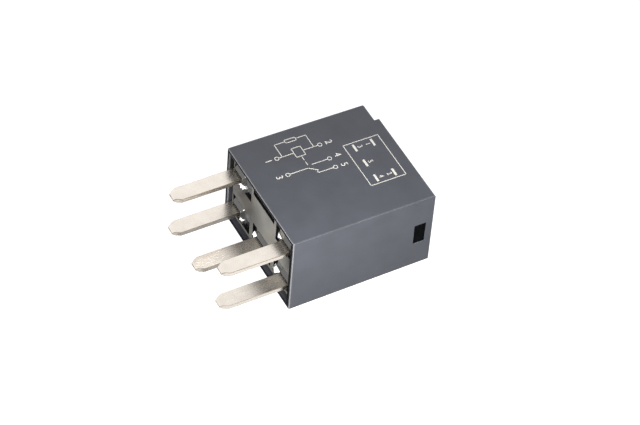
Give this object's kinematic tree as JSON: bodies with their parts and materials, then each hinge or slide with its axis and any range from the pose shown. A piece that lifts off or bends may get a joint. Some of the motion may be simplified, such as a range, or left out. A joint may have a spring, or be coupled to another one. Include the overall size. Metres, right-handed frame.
{
  "type": "automotive relay",
  "caption": "Plug-in changeover relay: box-shaped cover with a stepped end, flat blade terminals, and a coil, yoke and sprung armature inside.",
  "frame": {"origin": "centre of the cover's open rim, in the rim's plane, where the relay meets its socket", "axes": "+X from the rim to the closed end of the cover (the blades point to -X), +Y across the cover's width towards the stepped shoulder, +Z through its depth, up from the broad face that it lies on"},
  "size_m": [0.0361, 0.0226, 0.015],
  "materials": {
    "cover_plastic": "satin",
    "base_plastic": "matt",
    "sealing_resin": "glossy",
    "tinned_brass": "bright tin plating",
    "soft_iron": "zinc plated",
    "bobbin_nylon": "satin",
    "enamelled_wire": "enamelled",
    "resistor_coat": "glossy",
    "contact_silver": "bright",
    "spring_bronze": "bright"
  },
  "bodies": {
    "relay_body": {"cover": "cover_plastic", "base": "base_plastic", "terminal_seals": "sealing_resin", "terminal_30": "tinned_brass", "terminal_85": "tinned_brass", "terminal_86": "tinned_brass", "terminal_87": "tinned_brass", "terminal_87a": "tinned_brass", "yoke": "soft_iron", "core": "soft_iron", "bobbin": "bobbin_nylon", "coil_winding": "enamelled_wire", "coil_start_lead": "enamelled_wire", "coil_end_lead": "enamelled_wire", "resistor_body": "resistor_coat", "resistor_leads": "tinned_brass", "fixed_contact_no": "contact_silver", "fixed_contact_nc": "contact_silver", "yoke_rivets": "soft_iron"},
    "armature_assembly": {"armature": "soft_iron", "armature_rivets": "soft_iron", "moving_spring": "spring_bronze", "moving_contact": "contact_silver"}
  },
  "joints": [
    {"name": "armature_hinge", "type": "hinge", "parent": "relay_body", "child": "armature_assembly", "pos_m": [0.0188, 0.0089, 0], "axis": [0, 0, -1], "range_deg": [0, 3], "stiffness_Nm_per_rad": 0.01, "springref_deg": -20.05, "deforming": ["moving_spring"]}
  ]
}
